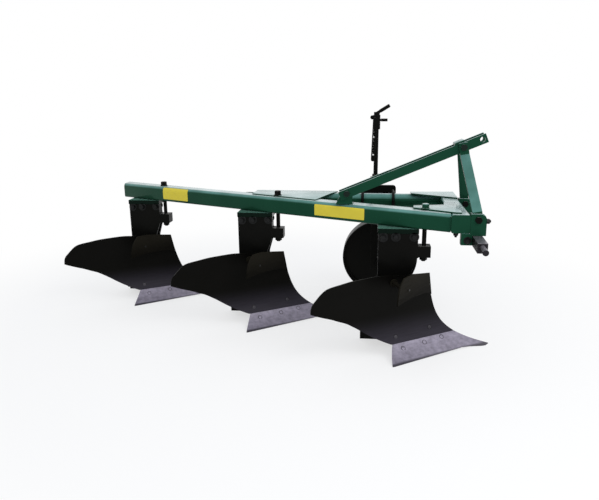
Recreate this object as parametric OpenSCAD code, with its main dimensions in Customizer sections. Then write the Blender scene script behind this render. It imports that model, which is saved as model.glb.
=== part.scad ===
// Three-furrow mounted plough, right-hand bodies, standing on its shares and gauge wheel.
// Millimetres. +X is the direction of travel, +Y is the land side, Z = 0 is the floor.

/* [Bodies] */
// Number of furrows
furrows = 3; // [2:1:4]
// Cut of one body across the travel
body_cut = 350; // [250:1:450]
// Distance between bodies along the travel
body_pitch = 780; // [700:1:1000]
// Height of the seam between share and mouldboard
seam_z = 68; // [55:1:80]
// How far the shin leans back from the nose
shin_back = 280; // [240:1:330]
// Height over which the shin bends upright
shin_rise = 70; // [60:1:90]
// Share of the height by which the shin goes on leaning back
shin_rake = 0.14; // [0:0.01:0.3]
// Lean of the shin to the furrow side, in degrees
shin_lean = 12.2; // [8:0.1:15]
// Angle of the cutting edge to the travel
edge_angle = 34.3; // [30:0.1:40]
// Extra angle at the top of the mouldboard
edge_twist = -2.2; // [-5:0.1:4]
// Height of the mouldboard at the shin
shin_z = 395; // [370:1:415]
// Rise from the shin corner to the crown of the mouldboard
crown_rise = 23; // [10:1:40]
// Length of the mouldboard along its level lines
mould_len = 678; // [620:1:740]
// Height of the tail tip
tail_z = 282; // [240:1:320]
// Rear edge of the share behind the nose
share_back = 505; // [450:1:560]
// Bow of the cutting edge above the floor, between nose and wing
edge_bow = 6; // [0:0.5:10]
// Beak that widens the share beside its nose
nose_out = 18; // [0:0.5:24]
// Plate of the mouldboard
mould_t = 8; // [5:0.5:12]
// Plate of the share
share_t = 10; // [6:0.5:14]
// Height of the landside bar
landside_h = 95; // [70:1:130]
// Plate of the landside bar
landside_t = 12; // [8:0.5:16]
// Rear end of the landside behind the nose
landside_back = 668; // [650:1:740]
// Angle of the trash board to the travel
trash_angle = 57.5; // [50:0.5:62]
// Length of the trash board behind the shin
trash_l = 309; // [260:1:340]
// Height of the lower edge of the trash board
trash_z = 312; // [300:1:330]
// Rise of the trash board above the shin corner
trash_rise = 37; // [20:1:50]
// Plate of the trash board
trash_t = 6; // [4:0.5:10]
// Stay behind the trash board
stay_d = 20; // [14:1:26]

/* [Standards] */
// Rear edge of the standard behind the nose
standard_rear = 585; // [540:1:640]
// Front edge of the standard behind the nose
standard_front = 392; // [385:1:420]
// Rake of the front edge of the standard below its lug
standard_rake = 30; // [20:1:40]
// Height of the top of the standard
standard_top = 596; // [570:1:610]
// Width of the standard across the travel
standard_w = 60; // [48:1:80]
// Land-side face of the standard, from the furrow wall
standard_y = -45; // [-50:1:-40]
// Plate of the standard
standard_t = 12; // [8:0.5:16]
// Diameter of the long bolt
bolt_d = 22; // [16:0.5:26]
// Long bolt behind the nose
bolt_back = 361; // [345:1:366]
// Long bolt, out from the furrow wall
bolt_out = 72; // [66:1:78]
// Height of the underside of the lug
lug_z = 478; // [440:1:500]
// Height of the lug
lug_h = 56; // [30:1:70]
// Side of the lug across the travel
lug_w = 64; // [52:1:80]
// Height of the underside of the shoe
shoe_z = 44; // [36:1:50]
// Height of the shoe
shoe_h = 40; // [30:1:46]
// Rear end of the shoe behind the nose
shoe_rear = 640; // [610:1:646]
// Thickness of the ribs behind the plates
rib_h = 12; // [8:0.5:16]
// Depth of the bracket tongue in the standard
tongue_h = 52; // [40:1:60]
// Reach of the bracket under the beam, from the standard
bracket_reach = 75; // [60:1:90]

/* [Frame] */
// Height of the top of the frame
frame_top = 710; // [690:1:730]
// Height of the frame tubes
beam_h = 88; // [70:1:90]
// Width of the main beam
beam_w = 104; // [90:1:120]
// Wall of the frame tubes
beam_wall = 8; // [5:0.5:12]
// Corner radius of the frame tubes
beam_r = 11; // [9:0.5:16]
// Main beam across the travel, at the nose of the front body
beam_y = -234; // [-250:1:-220]
// Rear end of the main beam behind the nose of the rear body
beam_tail = 657; // [610:1:740]
// Plate of the end caps
cap_t = 6; // [4:0.5:10]
// Front face of the cross beam behind the nose
cross_front = 162; // [155:1:175]
// Width of the cross beam
cross_w = 88; // [70:1:100]
// Right end of the cross beam
cross_right = -187; // [-200:1:-180]
// Diameter of the side tube
tube_d = 84; // [70:1:88]
// Side tube across the travel
tube_y = 415; // [400:1:430]
// Plate of the corner gusset
gusset_t = 8; // [5:0.5:12]
// Corner gusset along the side tube
gusset_l = 155; // [120:1:200]
// Corner gusset along the cross beam
gusset_w = 205; // [160:1:240]
// Corner gusset where it ends on the side tube
gusset_end = 55; // [40:1:70]

/* [Hitch] */
// Middle of the hitch across the travel
hitch_y = 80; // [70:1:90]
// Spread of the lower hitch shoulders
hitch_spread = 825; // [800:1:900]
// Diameter of the lower hitch pins
pin_d = 28; // [22:0.5:36]
// Length of the lower hitch pins
pin_l = 78; // [60:1:120]
// Square hitch bar
bar_s = 46; // [36:1:50]
// Hitch bar behind the nose
bar_back = 127; // [120:1:135]
// Height of the post bolts
post_z = 687; // [675:1:695]
// Width of the mast posts
post_w = 45; // [36:1:50]
// Plate of the mast posts
post_t = 14; // [8:0.5:16]
// Plate of the hitch ears
ear_t = 12; // [8:0.5:14]
// Foot of the left mast post, out from the middle of the hitch
left_post = 175; // [150:1:250]
// Height of the mast joint
mast_z = 998; // [960:1:1030]
// Mast joint behind the nose
mast_back = 182; // [170:1:200]
// Height of the top link hole
link_z = 1039; // [1025:1:1055]
// Top link hole behind the nose
link_back = 93; // [85:1:105]
// Diameter of the top link hole
link_d = 25.7; // [19:0.1:32]
// Clear width between the brace bars
link_gap = 56; // [50:1:70]
// Height of the brace bars
brace_h = 45; // [40:1:60]
// Plate of the brace bars
brace_t = 14; // [8:0.5:16]
// Foot bolt of the brace behind the nose
foot_back = 748; // [730:1:765]
// Height of the foot bolt above the frame
foot_rise = 57; // [48:1:65]
// Length of the brace foot along the beam
foot_l = 85; // [72:1:95]
// Brace bars beyond the foot bolt
brace_end = 38; // [30:1:45]
// Diameter of the mast bolts
mast_d = 20; // [16:0.5:24]

/* [Gauge wheel] */
// Outer diameter of the wheel
wheel_d = 476; // [420:1:500]
// Width of the rim
wheel_w = 120; // [90:1:130]
// Plate of the rim
rim_t = 10; // [6:0.5:14]
// Wheel across the travel
wheel_y = 820; // [810:1:860]
// Wheel axle behind the nose
wheel_back = 562; // [550:1:575]
// Diameter of the stub axle
axle_d = 40; // [30:0.5:44]
// Diameter of the hub
hub_d = 92; // [74:1:110]
// Side of the square wheel leg
leg_s = 40; // [30:1:44]
// Leg behind the nose
leg_back = 602; // [595:1:610]
// Leg across the travel
leg_y = 640; // [620:1:650]
// Height of the top of the leg
leg_top = 790; // [775:1:830]
// Wall of the leg guide
guide_wall = 10; // [6:0.5:14]
// Length of the leg guide
guide_h = 100; // [80:1:110]
// Length of the clamp plate
clamp_l = 204; // [180:1:220]
// Top of the clamp plate above the side tube
clamp_h = 40; // [30:1:50]
// Thickness of the clamp plate
clamp_t = 20; // [12:1:24]
// Round of the clamp plate's corners
clamp_r = 18; // [8:1:24]
// Rod of the U bolts
ubolt_d = 16; // [12:0.5:18]
// Side of the square wheel arm
arm_s = 50; // [40:1:54]
// Height of the screw top
screw_top = 1137; // [1110:1:1150]
// Diameter of the screw
screw_d = 26; // [20:0.5:30]
// Diameter of the sleeve on the screw
sleeve_d = 42; // [36:1:50]
// Length of the sleeve on the screw
sleeve_l = 82; // [60:1:100]
// Length of the crank rod
crank_l = 86; // [70:1:120]
// Rod of the crank
crank_d = 17; // [12:0.5:20]
// Length of the slotted bar between its round ends
slot_l = 232; // [200:1:260]
// Width of the slotted bar
slot_w = 24; // [18:1:30]
// Plate of the slotted bar
slot_t = 12; // [8:0.5:16]
// Length of the wheel hub
hub_l = 108; // [90:1:112]
// Plate of the wheel disc
disc_t = 8; // [5:0.5:12]

/* [Hidden] */
$fn = 48;
// Clearance between pieces that lie on each other
seat = 0.3;
// Clearance of a flat piece behind a curved plate
curve_seat = 0.7;
// Clearance of a sliding or turning fit, on the radius
run = 0.05;
// Colours of the paint and the steel
green = "#1c3f2e";
black = "#17171a";
steel = "#55525c";
grey = "#6f7276";
// Beam direction and section
beam_angle = atan2(body_cut, body_pitch);
beam_slope = body_cut / body_pitch;
beam_half = beam_w / 2 / cos(beam_angle);
frame_bot = frame_top - beam_h;
cross_back = cross_front + cross_w;
cross_left = tube_y + tube_d / 2;
tube_z = frame_top - tube_d / 2;
// Rear body and the box of the whole plough
last = furrows - 1;
beam_rear = last * body_pitch + beam_tail;
tail_back = back_x(mould_len, tail_z) + mould_t * sin(edge(tail_z));
tail_out = lean(tail_z) + mould_len * sin(edge(tail_z));
mid_x = -(last * body_pitch + tail_back) / 2;
mid_y = (wheel_y + wheel_w / 2 - tail_out) / 2;
// Brace from its foot to the top link hole
foot_z = frame_top + foot_rise;
brace_run = foot_back - link_back;
brace_angle = atan2(link_z - foot_z, brace_run);
brace_len = norm([brace_run, link_z - foot_z]);
brace_y = link_gap / 2 + brace_t / 2;
joint_along = (foot_back - mast_back) / cos(brace_angle);
joint_z = foot_z + (foot_back - mast_back) * tan(brace_angle);
// Posts between the ears and the mast joint
right_post = hitch_y - cross_right - ear_t - seat - post_t / 2;
function post_foot(side) = side > 0 ? left_post : right_post;
post_top_y = brace_y + brace_t / 2 + seat + post_t / 2;
post_lean = atan2(mast_back - bar_back, joint_z - post_z);
post_len = norm([mast_back - bar_back, joint_z - post_z]);
bar_z = frame_bot - 11 - bar_s / 2;
// Wheel mast
wheel_r = wheel_d / 2;
arm_z = frame_top - arm_s / 4;
guide_z = arm_z + arm_s / 2 - guide_h / 2;
clamp_x = -leg_back + 15;
clamp_y = tube_y + tube_d / 2 + seat;
ubolt_r = tube_d / 2 + ubolt_d / 2 + seat;
function ubolt_x(e) = clamp_x + e * (clamp_l / 2 - ubolt_d);
lug_l = standard_front - bolt_back + lug_w / 2;
collar_t = 8;
collar_y = wheel_y - hub_l / 2 - 5;

// Angle of a level line at a height
function edge(z) = edge_angle + edge_twist * z / shin_z;
// Shin behind the nose at a height
function shin(z) = shin_back * (1 - exp(-z / shin_rise)) + shin_rake * z;
// Shin out to the furrow side at a height
function lean(z) = z * tan(shin_lean);
// A point of the level line behind the nose
function back_x(s, z) = shin(z) + s * cos(edge(z));
// How fast the face moves forward with height, square to the level line
function creep(z) =
  cos(edge(z)) * tan(shin_lean) - sin(edge(z)) * (shin_back / shin_rise * exp(-z / shin_rise) + shin_rake);
// Depth of a plate measured level, from its true thickness
function level_t(t, z) = t * norm([1, creep(z)]);
// Point of the working face
function face(s, z) = [-back_x(s, z), -lean(z) - s * sin(edge(z)), z];
// Same point behind the plate
function rear(s, z, t) = face(s, z) + level_t(t, z) * [-sin(edge(z)), cos(edge(z)), 0];
// Behind the nose where the back of a plate crosses a line along the travel
function back_at(y, z, t) =
  let (w = level_t(t, z)) shin(z) + w * sin(edge(z)) + (w * cos(edge(z)) - y - lean(z)) / tan(edge(z));

// Rear end of the share at a height
function share_end(z) = (share_back - shin(z)) / cos(edge(z));
// Height of the cutting edge along its length
function bow(s) = edge_bow * lookup(s, [[0, 0], [50, 0], [150, 1], [share_end(0), 0]]);

// Beak of the share beside its nose, out from the straight cutting edge
function beak(s) = nose_out * lookup(s, [[0, 0], [45, 1], [115, 0], [share_end(0), 0]]);

// Rows of the mouldboard: height, front and rear end along the level line
seam_s = share_end(seam_z);
mould_rows = [
  [seam_z + seat, 0, seam_s - 2],
  [seam_z + 20, 0, seam_s + 14],
  [seam_z + 42, 0, seam_s + 32],
  [seam_z + 68, 0, seam_s + 53],
  [seam_z + 95, 0, seam_s + 75],
  [seam_z + 113, 0, seam_s + 93],
  [tail_z - 77, 0, mould_len - 161],
  [tail_z - 60, 0, mould_len - 128],
  [tail_z - 42, 0, mould_len - 93],
  [tail_z - 22, 0, mould_len - 46],
  [tail_z, 0, mould_len],
  [tail_z + 20, 0, mould_len - 12],
  [tail_z + 38, 0, mould_len - 27],
  [tail_z + 54, 0, mould_len - 49],
  [tail_z + 75, 0, mould_len - 76],
  [tail_z + 93, 0, mould_len - 97],
  [shin_z, 0, mould_len - 133],
  [shin_z + crown_rise * 0.22, 80, mould_len - 149],
  [shin_z + crown_rise * 0.4, 145, mould_len - 188],
  [shin_z + crown_rise * 0.74, 225, mould_len - 249],
  [shin_z + crown_rise, 268, mould_len - 340]
];
// Rows of the share
share_rows = [for (i = [0:8]) let (z = (seam_z - seat) * i / 8) [z, 0, share_end(z)]];

// Curved plate through rows of level lines, flush with the furrow wall at the shin.
// square_end cuts the rear end across the travel, low_edge bows the lowest row and gives it its beak.
module curved_plate(rows, t, square_end, low_edge, cols = 14) {
  n = len(rows);
  m = cols + 1;
  z_at = function (i, s) rows[i][0] + (i == 0 && low_edge ? bow(s) : 0);
  s_at = function (a, b, j) a + (b - a) * j / cols;
  front = [for (i = [0:n - 1]) for (j = [0:cols])
    let (s = s_at(rows[i][1], rows[i][2], j), z = z_at(i, s), out = i == 0 && low_edge ? beak(s) : 0)
    face(s, z) + out * [sin(edge(z)), -cos(edge(z)), 0]];
  back = [for (i = [0:n - 1])
    let (z = rows[i][0], w = level_t(t, z), a = rows[i][1] == 0 ? w / tan(edge(z)) : rows[i][1])
    let (b = rows[i][2] - (square_end ? w * tan(edge(z)) : 0))
    for (j = [0:cols]) rear(s_at(a, b, j), z_at(i, s_at(a, b, j)), t)];
  h = n * m;
  quad = function (a, b, c, d) [[a, b, c], [a, c, d]];
  skin = [for (i = [0:n - 2]) for (j = [0:cols - 1])
    each quad(i * m + j, (i + 1) * m + j, (i + 1) * m + j + 1, i * m + j + 1)];
  inner = [for (f = skin) [h + f[2], h + f[1], h + f[0]]];
  foot = [for (j = [0:cols - 1]) each quad(j, j + 1, h + j + 1, h + j)];
  top = (n - 1) * m;
  crest = [for (j = [0:cols - 1]) each quad(top + j + 1, top + j, h + top + j, h + top + j + 1)];
  lead = [for (i = [0:n - 2]) each quad((i + 1) * m, i * m, h + i * m, h + (i + 1) * m)];
  tail = [for (i = [0:n - 2])
    each quad(i * m + cols, (i + 1) * m + cols, h + (i + 1) * m + cols, h + i * m + cols)];
  polyhedron(concat(front, back), concat(skin, inner, foot, crest, lead, tail), convexity = 6);
}

// Moves a piece of the front body to body k
module at_body(k) {
  translate([-k * body_pitch, k * body_cut, 0]) children();
}

// Plate across the travel from a side profile, between two values of y
module side_plate(points, y0, y1) {
  translate([0, y1, 0]) rotate([90, 0, 0]) linear_extrude(y1 - y0) polygon(points);
}

// Rod along y
module rod_y(d, y0, y1, n = 48) {
  translate([0, y0, 0]) rotate([-90, 0, 0]) cylinder(d = d, h = y1 - y0, $fn = n);
}

// Section of a square tube with round corners
module round_section(w, h, r) {
  square([w - 2 * r, h], center = true);
  square([w, h - 2 * r], center = true);
  for (x = [-1, 1], y = [-1, 1]) translate([x * (w / 2 - r), y * (h / 2 - r)]) circle(r);
}

module tube_section(w, h, r, wall) {
  difference() {
    round_section(w, h, r);
    round_section(w - 2 * wall, h - 2 * wall, max(r - wall, 1));
  }
}

// Main beam, closed at its rear end
module main_beam() {
  long = beam_rear / cos(beam_angle) + beam_w;
  far = 2 * long;
  color(green) difference() {
    along_beam(long) tube_section(beam_w, beam_h, beam_r, beam_wall);
    translate([-cross_back - seat, -far, 0]) cube([far, 2 * far, far]);
    translate([-beam_rear + cap_t - far, -far, 0]) cube([far, 2 * far, far]);
    bolt_holes();
  }
  color(green) intersection() {
    along_beam(long) round_section(beam_w, beam_h, beam_r);
    translate([-beam_rear, -far, 0]) cube([cap_t + 0.01, 2 * far, far]);
  }
}

// Section drawn along the main beam
module along_beam(long) {
  translate([0, beam_y, frame_top - beam_h / 2]) rotate([0, 0, -beam_angle]) rotate([0, -90, 0])
    rotate([0, 0, 90]) linear_extrude(long) children();
}

module bolt_holes() {
  for (k = [0:last]) at_body(k) translate([-bolt_back, -bolt_out, frame_bot - 1])
    cylinder(d = bolt_d + 2 * seat, h = beam_h + 2);
}

// Cross beam, closed at both ends
module cross_beam() {
  long = cross_left - cross_right;
  color(green) translate([-cross_front - cross_w / 2, cross_right, frame_top - beam_h / 2]) rotate([-90, 0, 0]) {
    linear_extrude(long) tube_section(cross_w, beam_h, beam_r, beam_wall);
    for (z = [0, long - cap_t]) translate([0, 0, z]) linear_extrude(cap_t)
      round_section(cross_w, beam_h, beam_r);
  }
}

// Side tube between the cross beam and the main beam
module side_tube() {
  long = (tube_y + tube_d - beam_y) / beam_slope;
  far = 2 * long;
  color(green) difference() {
    translate([-cross_back - seat, tube_y, tube_z]) rotate([0, -90, 0]) difference() {
      cylinder(d = tube_d, h = long);
      translate([0, 0, -1]) cylinder(d = tube_d - 2 * beam_wall, h = long + 2);
    }
    translate([0, beam_y, 0]) rotate([0, 0, -beam_angle])
      translate([-far, beam_w / 2 + seat - far, 0]) cube([2 * far, far, far]);
  }
}

// Corner gusset on the side tube and the cross beam
module corner_gusset() {
  x0 = -cross_front - gusset_t / 2;
  x1 = -cross_back - gusset_l;
  y1 = cross_left - gusset_t / 2;
  y2 = y1 - beam_wall * 2;
  color(green) translate([0, 0, frame_top + seat]) linear_extrude(gusset_t)
    polygon([[x1, y2], [x1, y2 - gusset_end], [x0, y1 - gusset_w], [x0, y1]]);
}

// Ear of the hitch: two plates, a shelf and a rear block, side = -1 right, 1 left
module hitch_ear(side) {
  y = hitch_y + side * post_foot(side);
  x0 = -cross_front + seat;
  x1 = -bar_back + 38;
  z0 = bar_z + bar_s / 2 + seat;
  z1 = post_z + 28;
  outline = [[x0, z0], [x1, z0], [x1, z1 - 22], [x1 - 8, z1 - 7], [x1 - 22, z1], [x0, z1]];
  gap = post_t / 2 + seat;
  color(green) difference() {
    union() {
      for (e = [-1, 1]) {
        near = y + e * gap;
        far = y + e * (gap + ear_t);
        side_plate(outline, min(near, far), max(near, far));
      }
      translate([x0, y - gap - ear_t, z0]) cube([x1 - x0, 2 * (gap + ear_t), 11 - 2 * seat]);
      translate([-bar_back - bar_s / 2 - 52, y - gap - ear_t, bar_z - bar_s / 2])
        cube([52 - seat, 2 * (gap + ear_t), bar_s + 11 - seat]);
    }
    translate([-bar_back, 0, post_z]) rod_y(mast_d + 2 * seat, y - 60, y + 60);
  }
}

// Hitch bar with turned pins
module hitch_bar() {
  half = hitch_spread / 2;
  color(grey) translate([-bar_back, hitch_y, bar_z]) {
    translate([-bar_s / 2, -half, -bar_s / 2]) cube([bar_s, 2 * half, bar_s]);
    rod_y(pin_d, -half - pin_l, half + pin_l);
  }
}

// Post of the mast
module mast_post(side) {
  t = post_t / 2;
  y0 = side * post_foot(side);
  y1 = side * post_top_y;
  line = [[y0, -post_w / 2], [y0, 36], [y1, post_len - 34], [y1, post_len + post_w / 2]];
  path = concat([for (p = line) p + [t, 0]], [for (i = [3:-1:0]) line[i] - [t, 0]]);
  color(green) translate([-bar_back, hitch_y, post_z]) rotate([0, -post_lean, 0]) difference() {
    translate([-post_w / 2, 0, 0]) rotate([90, 0, 90]) linear_extrude(post_w) polygon(path);
    rod_y(mast_d + 2 * seat, y0 - 30, y0 + 30);
    translate([0, 0, post_len]) rod_y(mast_d + 2 * seat, y1 - 30, y1 + 30);
  }
}

// One of the two brace bars
module brace_bar(side) {
  y = side * brace_y;
  color(green) translate([-foot_back, hitch_y, foot_z]) rotate([0, -brace_angle, 0]) difference() {
    translate([-brace_end, y - brace_t / 2, -brace_h / 2])
      cube([brace_end + brace_len + brace_h / 2, brace_t, brace_h]);
    for (x = [0, joint_along]) translate([x, 0, 0]) rod_y(mast_d + 2 * seat, y - 20, y + 20);
    translate([brace_len, 0, 0]) rod_y(link_d, y - 20, y + 20);
  }
}

// Foot of the brace on the main beam
module brace_foot() {
  half = link_gap / 2 - seat;
  z0 = frame_top + seat;
  h = brace_h;
  lug = [
    [-foot_l * 0.67, z0], [foot_l * 0.33, z0], [foot_l * 0.33, foot_z + h * 0.26],
    [h * 0.31, foot_z + h * 0.53], [-h * 0.4, foot_z + h * 0.26], [-h * 0.67, foot_z - h * 0.11]
  ];
  color(green) translate([-foot_back, hitch_y, 0]) difference() {
    side_plate(lug, -half, half);
    translate([0, 0, foot_z]) rod_y(mast_d + 2 * seat, -link_gap, link_gap);
  }
}

// Headed pin along y, half length from the middle
module headed_pin(d, half) {
  rod_y(d, -half, half);
  for (s = [-1, 1]) rod_y(d * 1.7, s > 0 ? half : -half - 12, s > 0 ? half + 12 : -half, 6);
}

// Pin of the mast joint
module mast_pin() {
  half = post_top_y + post_t / 2 + seat;
  color(grey) translate([-mast_back, hitch_y, joint_z]) headed_pin(mast_d, half);
}

// Pin of the brace foot
module foot_pin() {
  half = brace_y + brace_t / 2 + seat;
  color(grey) translate([-foot_back, hitch_y, foot_z]) headed_pin(mast_d, half);
}

// Bolt of a post in its ear
module post_bolt(side) {
  half = post_t / 2 + ear_t + 2 * seat;
  color(grey) translate([-bar_back, hitch_y + side * post_foot(side), post_z]) headed_pin(mast_d, half);
}

// Bracket under the main beam with its tongue
module bracket(k) {
  y1 = standard_y + bracket_reach;
  y0 = standard_y - standard_w - 3;
  inner = standard_t + seat;
  color(green) at_body(k) {
    translate([-standard_rear - 3, y0, standard_top + seat])
      cube([standard_rear - standard_front + 6, y1 - y0, frame_bot - standard_top - 2 * seat]);
    translate([-standard_rear + 2 * standard_t, standard_y - standard_w + inner, standard_top - tongue_h])
      cube([standard_rear - standard_front - 4 * standard_t, standard_w - 2 * inner, tongue_h + 1]);
  }
}

// Ribs behind the plates: height, plate in front, reach along the level line
ribs = [
  [seam_z - rib_h - 10, share_t, seam_s * 0.8],
  [seam_z + 30, mould_t, seam_s * 0.8],
  [(seam_z + tail_z) / 2 + 24, mould_t, seam_s * 0.87],
  [tail_z + 28, mould_t, seam_s * 0.82]
];
// Heights of the front edge of the frog plate
nose_z = [for (i = [0:8]) shoe_z + (shin_z - shoe_z) * pow(i / 8, 1.6)];

// Standard with its frog, ribs and lug
module standard(k) {
  y1 = standard_y;
  y0 = standard_y - standard_w;
  t = standard_t;
  low = landside_h + t;
  lip = -landside_t - seat;
  shoe_front = back_at(y0, shoe_z + shoe_h, share_t) + 10;
  nose = [for (z = nose_z) [-back_at(y0, z, share_t) - 8, z]];
  front = -standard_front;
  rear = -standard_rear;
  step = front - 2 * t;
  plate = concat([[rear, standard_top], [front, standard_top], [front, lug_z]],
    [for (p = [for (i = [8:-1:0]) nose[i]]) [min(p[0], front - standard_rake * p[1] / shin_z), p[1]]],
    [[rear, shoe_z]]);
  inside = [
    [rear, standard_top], [front, standard_top], [front, lug_z], [step, shin_z], [step, low], [rear, low]
  ];
  color(black) at_body(k) difference() {
    union() {
      side_plate(plate, y0, y0 + t);
      side_plate(inside, y1 - t, y1);
      translate([rear, y0, low]) cube([t, standard_w, standard_top - low]);
      translate([front - t, y0, lug_z]) cube([t, standard_w, standard_top - lug_z]);
      translate([rear, y0, low]) cube([step - rear, standard_w, t]);
      translate([-shoe_rear, y0, shoe_z]) cube([shoe_rear - shoe_front, lip - y0, shoe_h]);
      for (r = ribs) frog_rib(r[0], r[1], r[2], y0 + t / 2);
      translate([front - t / 2, -bolt_out - lug_w / 2, lug_z]) cube([lug_l + t / 2, lug_w, lug_h]);
    }
    translate([-bolt_back, -bolt_out, lug_z - 1]) cylinder(d = bolt_d + 2 * seat, h = lug_h + 2);
  }
}

// Level rib between the standard and the back of a plate
module frog_rib(z, t, s1, y0) {
  d = t + curve_seat;
  level = creep(z) > 0 ? z : z + rib_h;
  a = rear(s1, level, d);
  x0 = -back_at(y0, level, d);
  translate([0, 0, z]) linear_extrude(rib_h)
    polygon([[x0, y0], [a[0], a[1]], [max(a[0], -standard_rear + 2 * standard_t), y0]]);
}

// Trash board above the shin, standing out from the mouldboard on a stay
module trash_board(k) {
  z1 = shin_z + trash_rise;
  top = [-shin(shin_z), -lean(shin_z)];
  out = [sin(trash_angle), -cos(trash_angle)];
  low_z = trash_z - 29;
  low = [-shin(low_z), -lean(low_z)];
  off = out * (low - top) + 2 * curve_seat;
  l = trash_l;
  outline = [
    [-24, low_z], [40, trash_z - 7], [l * 0.5, trash_z + 3], [l * 0.8, trash_z + 3], [l, trash_z - 3],
    [l - 2, trash_z + 20], [l - 8, trash_z + 48], [l - 17, trash_z + 76], [l - 31, trash_z + 98],
    [l - 53, z1], [l - 90, z1 + 1], [l * 0.58, z1 - 1], [l * 0.31, shin_z + 22], [6, shin_z + 5]
  ];
  s = l * 0.68;
  z = trash_z + 62;
  square = [sin(edge(z)), -cos(edge(z)), -creep(z)] / norm([1, creep(z)]);
  foot = face(s, z);
  flat = [out[0], out[1], 0];
  reach = (off + trash_t / 2 - flat * (foot - [top[0], top[1], z])) / (flat * square);
  color(black) at_body(k) {
    translate([top[0] + off * out[0], top[1] + off * out[1], 0]) rotate([0, 0, 180 + trash_angle])
      rotate([90, 0, 0]) translate([0, 0, -trash_t]) linear_extrude(trash_t) polygon(outline);
    translate(foot + curve_seat * square) rotate([0, 0, edge(z) - 90]) rotate([0, 90 + atan(creep(z)), 0]) {
      cylinder(d = stay_d, h = reach - curve_seat);
      cylinder(d = 2 * stay_d, h = trash_t);
    }
  }
}

// Long vertical bolt with head and nut
module long_bolt(k) {
  color(black) at_body(k) translate([-bolt_back, -bolt_out, 0]) {
    translate([0, 0, lug_z - 24]) cylinder(d = bolt_d, h = frame_top - lug_z + 24 + seat);
    translate([0, 0, frame_top + seat]) cylinder(d = bolt_d * 1.65, h = 14, $fn = 6);
    translate([0, 0, lug_z - seat - 18]) cylinder(d = bolt_d * 1.75, h = 18, $fn = 6);
  }
}

module mouldboard(k) {
  color(black) at_body(k) curved_plate(mould_rows, mould_t, false, false);
}

module share(k) {
  color(steel) at_body(k) curved_plate(share_rows, share_t, true, true);
}

// Landside bar
module landside(k) {
  x0 = -landside_back;
  x1 = -back_at(-landside_t, landside_h, mould_t + 2) - 6;
  low_x = -back_at(-landside_t, seam_z * 0.5, share_t + 2) - 6;
  profile = [[x0, 0], [low_x - 40, 0], [low_x - 40, 20], [x1, landside_h], [x0, landside_h]];
  color(black) at_body(k) side_plate(profile, -landside_t, 0);
}

// Plate of the wheel clamp behind the side tube
module wheel_clamp() {
  color(black) difference() {
    translate([clamp_x, clamp_y + clamp_t, tube_z]) rotate([90, 0, 0]) linear_extrude(clamp_t)
      round_section(clamp_l, 2 * (frame_top + clamp_h - tube_z), clamp_r);
    for (e = [-1, 1], s = [-1, 1]) translate([ubolt_x(e), 0, tube_z + s * ubolt_r])
      rod_y(ubolt_d + 2 * seat, clamp_y - 1, clamp_y + clamp_t + 1);
  }
}

// U bolts round the side tube, with their nuts behind the plate
module clamp_u_bolts() {
  behind = tube_d / 2 + clamp_t + 2 * seat;
  color(grey) for (e = [-1, 1]) translate([ubolt_x(e), tube_y, tube_z]) rotate([-90, 0, 0]) {
    rotate([0, 0, 90]) rotate([-90, 0, 0]) rotate_extrude(angle = 180) translate([ubolt_r, 0]) circle(d = ubolt_d);
    for (s = [-1, 1]) translate([0, s * ubolt_r, 0]) {
      cylinder(d = ubolt_d, h = behind + ubolt_d * 1.4);
      translate([0, 0, behind]) cylinder(d = ubolt_d * 1.8, h = ubolt_d * 0.8, $fn = 6);
    }
  }
}

// Arm from the clamp plate to the leg guide, and the guide
module wheel_arm() {
  out = leg_s / 2 + guide_wall;
  y0 = clamp_y + clamp_t + seat;
  color(black) difference() {
    union() {
      translate([-leg_back - arm_s / 2, y0, arm_z]) cube([arm_s, leg_y - y0, arm_s]);
      translate([-leg_back - out, leg_y - out, guide_z]) cube([2 * out, 2 * out, guide_h]);
    }
    translate([-leg_back - leg_s / 2 - seat, leg_y - leg_s / 2 - seat, 0])
      cube([leg_s + 2 * seat, leg_s + 2 * seat, 2 * frame_top]);
  }
}

// Leg of the gauge wheel with its foot
module wheel_leg() {
  color(black) difference() {
    union() {
      translate([-leg_back - leg_s / 2, leg_y - leg_s / 2, wheel_r - 34])
        cube([leg_s, leg_s, leg_top - wheel_r + 34]);
      translate([-leg_back - leg_s / 2, leg_y - leg_s / 2, wheel_r - 34])
        cube([leg_back - wheel_back + leg_s / 2 + 34, leg_s, 68]);
    }
    translate([-wheel_back, 0, wheel_r]) rod_y(axle_d + 2 * seat, leg_y - 100, leg_y + 100);
  }
}

// Screw above the leg, with its sleeve and cross pin
module leg_screw() {
  sleeve_z = screw_top - sleeve_l;
  color(black) translate([-leg_back, leg_y, 0]) {
    translate([0, 0, leg_top + seat]) cylinder(d = screw_d, h = sleeve_z - leg_top);
    translate([0, 0, sleeve_z]) cylinder(d = sleeve_d, h = sleeve_l);
    translate([0, 0, screw_top - crank_d * 1.7]) rotate([0, 90, 0])
      cylinder(d = crank_d * 0.8, h = sleeve_d * 1.5);
    translate([-sleeve_d * 0.62, 0, screw_top - crank_d * 0.8]) rod_y(crank_d * 1.4, -crank_d / 2, crank_d / 2);
  }
}

// Crank on the screw
module screw_crank() {
  color(black) translate([-leg_back, leg_y, screw_top + seat]) {
    cylinder(d = 2 * crank_d, h = crank_d);
    translate([0, 0, crank_d * 0.6]) rotate([0, 59, 0]) cylinder(d = crank_d, h = crank_l);
  }
}

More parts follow.
